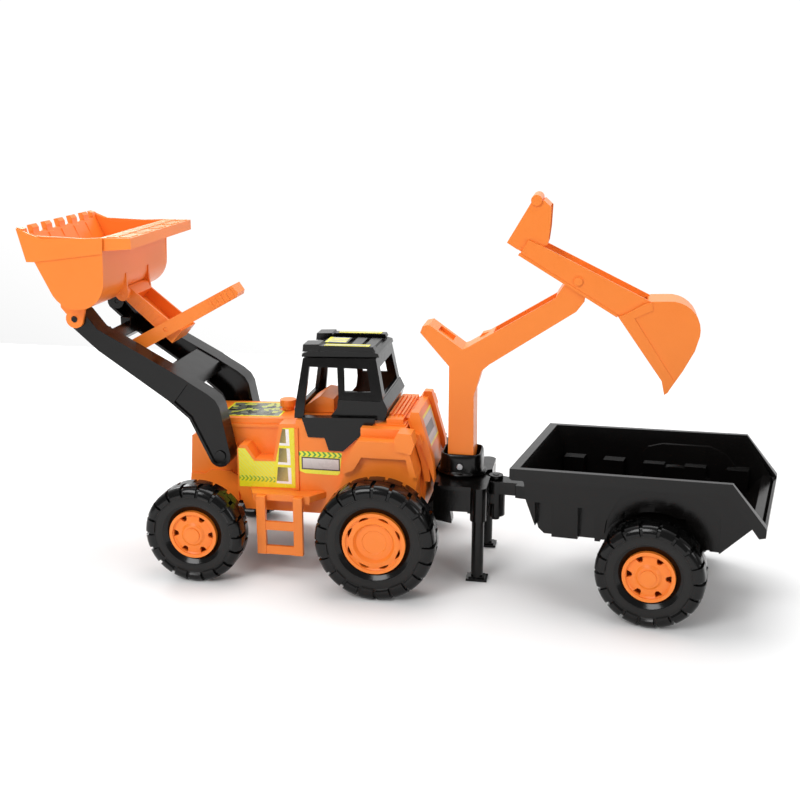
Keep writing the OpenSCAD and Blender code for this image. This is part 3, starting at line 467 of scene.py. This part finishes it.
# %% Make the pot
def ring(centre, half_x, half_y, height, squareness, steps=72):
    """A rounded ring. Squareness 2 is an ellipse, and larger values are closer to a rectangle."""
    points = []
    for i in range(steps):
        turn = 2 * math.pi * i / steps
        c, s = math.cos(turn), math.sin(turn)
        points.append((centre.x + half_x * MM * math.copysign(abs(c) ** (2 / squareness), c),
                       centre.y + half_y * MM * math.copysign(abs(s) ** (2 / squareness), s), height))
    return points


low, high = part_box("turret")
middle = (low + high) / 2
# half the length, half the width, height and squareness of each ring, in millimetres
foot = [(0.1, 0.1, 0.2, 2), (29.5, 29.5, 0.2, 2), (31, 31, 1.2, 2), (31, 31, 2.8, 2), (29.8, 29.8, 3.8, 2)]
neck = [(28, 28, 4.4, 2.6), (27.2, 27.2, 6, 3.2), (26.8, 26.8, 18, 3.4)]
shoulder = [(26.4, 26.5, 22.5, 3.6), (25.9, 26, 25.6, 4), (25, 25.2, 27.3, 4.6)]
lip = [(24.2, 24.4, 28.2, 5.5), (23.2, 23.4, 28.3, 6), (22.8, 22.8, 27.6, 6.5)]
well = [(22.6, 22.6, 26, 7), (22.6, 22.6, 4.2, 7), (0.1, 0.1, 4.2, 7)]
rings = foot + neck + shoulder + lip + well
pot = shell("swing_pot", [ring(middle, *half, low.z + up * MM, square) for *half, up, square in rings])
pot.data.polygons.foreach_set("use_smooth", [True] * len(pot.data.polygons))
pot.data.materials.append(finishes["black_plastic"])
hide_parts("turret")
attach(pot, "slew_post")
print(pot.name, "with", len(rings), "rings, foot at", round(low.z, 4))

# %% [markdown]
# ## Raised pattern on the bucket's back edge
# The flat top of the bucket's rear flange carries two rows of raised oblong pads, as a grip for small hands.
# Each pad is a low block with rounded edges, and all of them are one moulding with the bucket.

# %% Make the pads
def pads(name, body, finish, boxes, radius=0.35):
    """Many low rounded blocks as one piece. Each is a low and a high corner."""
    mesh = bpy.data.meshes.new(name)
    build = bmesh.new()
    for low, high in boxes:
        size, middle = Vector(high) - Vector(low), (Vector(high) + Vector(low)) / 2
        bmesh.ops.create_cube(build, size=1, matrix=Matrix.Translation(middle) @ Matrix.Diagonal((*size, 1)))
    build.to_mesh(mesh)
    build.free()
    part = bpy.data.objects.new(name, mesh)
    bpy.context.scene.collection.objects.link(part)
    part.data.materials.append(finishes[finish])
    soften(part, radius * MM)
    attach(part, body)
    return part


low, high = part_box("loader_bucket")
margin = 8 * MM
centre_y, half = (high.y + low.y) / 2, (high.y - low.y) / 2 - margin
columns, gap = 13, 2.6 * MM
pitch = (2 * half + gap) / columns
flange_top = high.z - 11.4 * MM
sunk, raised = 1.2 * MM, 1.1 * MM
back_row, front_row = (-31.5 * MM, -19.0 * MM), (-16.0 * MM, -3.0 * MM)
blocks = []
for i in range(columns):
    y0 = centre_y - half + i * pitch
    # every third place in the row by the edge stays flat
    for x0, x1 in (back_row,) if i % 3 == 2 else (back_row, front_row):
        corner = (high.x + x0, y0, flange_top - sunk)
        blocks.append((corner, (high.x + x1, y0 + pitch - gap, flange_top + raised)))
pads("bucket_edge_pads", "bucket", "orange_plastic", blocks)
print(len(blocks), "pads on the bucket's edge")

# %% [markdown]
# ## Floor, light and camera
# The toy stands on a plain pale floor. A large soft light from the front left gives the long highlights on
# the black plastic, a weaker one from the right keeps the trailer readable, and a surround that is white
# behind the toy and dim behind the viewer fills the shadows.

# %% Floor
mesh = bpy.data.meshes.new("floor")
mesh.from_pydata([(-3, -3, 0), (3, -3, 0), (3, 1.1, 0), (-3, 1.1, 0)], [], [(0, 1, 2, 3)])
floor = bpy.data.objects.new("floor", mesh)
bpy.context.scene.collection.objects.link(floor)
floor.location.z = -0.4 * MM
paint = Paint("floor")
pale = paint.mix(paint.noise(3), (0.86, 0.86, 0.86, 1), (0.90, 0.90, 0.90, 1))
mesh.materials.append(paint.surface(base_color=pale, roughness=0.75 + 0.1 * paint.noise(8)))
floor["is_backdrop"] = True

# %% Lights
def area_light(name, place, target, size, power):
    lamp = bpy.data.lights.new(name, "AREA")
    lamp.size = size
    lamp.energy = power
    holder = bpy.data.objects.new(name, lamp)
    holder.location = place
    holder.rotation_euler = (Vector(target) - Vector(place)).to_track_quat("-Z", "Y").to_euler()
    bpy.context.scene.collection.objects.link(holder)
    return holder


area_light("key", (-0.9, -1.9, 1.7), (0, 0, 0.15), 1.1, 33)
area_light("top", (0.1, 0.5, 2.0), (0, 0, 0.1), 1.5, 22)
area_light("fill", (1.9, -1.5, 1.0), (0.1, 0, 0.15), 0.8, 7)
area_light("back", (-1.4, 1.5, 1.2), (0, 0, 0.2), 0.8, 12)
world = bpy.data.worlds.new("surround")
world.use_nodes = True
room = world.node_tree
facing = room.nodes.new("ShaderNodeTexCoord").outputs["Generated"]
split = room.nodes.new("ShaderNodeSeparateXYZ")
room.links.new(facing, split.inputs[0])
raised = room.nodes.new("ShaderNodeMath")
raised.operation = "MULTIPLY_ADD"
raised.inputs[1].default_value, raised.inputs[2].default_value = 0.7, 0.22
room.links.new(split.outputs["Z"], raised.inputs[0])
light = room.nodes.new("ShaderNodeMath")
light.operation = "MULTIPLY_ADD"
light.use_clamp = True
light.inputs[1].default_value = 0.95
room.links.new(split.outputs["Y"], light.inputs[0])
room.links.new(raised.outputs[0], light.inputs[2])
# never darker than a dim grey
dim = room.nodes.new("ShaderNodeMath")
dim.operation = "MAXIMUM"
dim.inputs[1].default_value = 0.28
room.links.new(light.outputs[0], dim.inputs[0])
room.links.new(dim.outputs[0], room.nodes["Background"].inputs[0])
room.nodes["Background"].inputs[1].default_value = 1.05
bpy.context.scene.world = world
bpy.context.scene.view_settings.view_transform = "Standard"

# %% Camera
camera = bpy.data.cameras.new("camera")
camera.lens = 50.95
camera.sensor_width = 36
camera.clip_start = 0.01
viewer = bpy.data.objects.new("camera", camera)
viewer.location = (0.2347, -1.3439, 0.5899)
swing, look_down = math.radians(10.27), math.radians(15.38)
level = math.cos(look_down)
ahead = Vector((-math.sin(swing) * level, math.cos(swing) * level, -math.sin(look_down)))
viewer.rotation_euler = ahead.to_track_quat("-Z", "Y").to_euler()
bpy.context.scene.collection.objects.link(viewer)
bpy.context.scene.camera = viewer
print("camera and lights are set")

# %% [markdown]
# ## Sizes and the last step
# The bounds with and without the dressing are printed.

# %% Finish
looks_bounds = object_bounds()
sizes = {"cad": [list(corner) for corner in cad_bounds], "scene": [list(corner) for corner in looks_bounds]}
for what, corners in sizes.items():
    print(what, [[round(length, 4) for length in corner] for corner in corners])
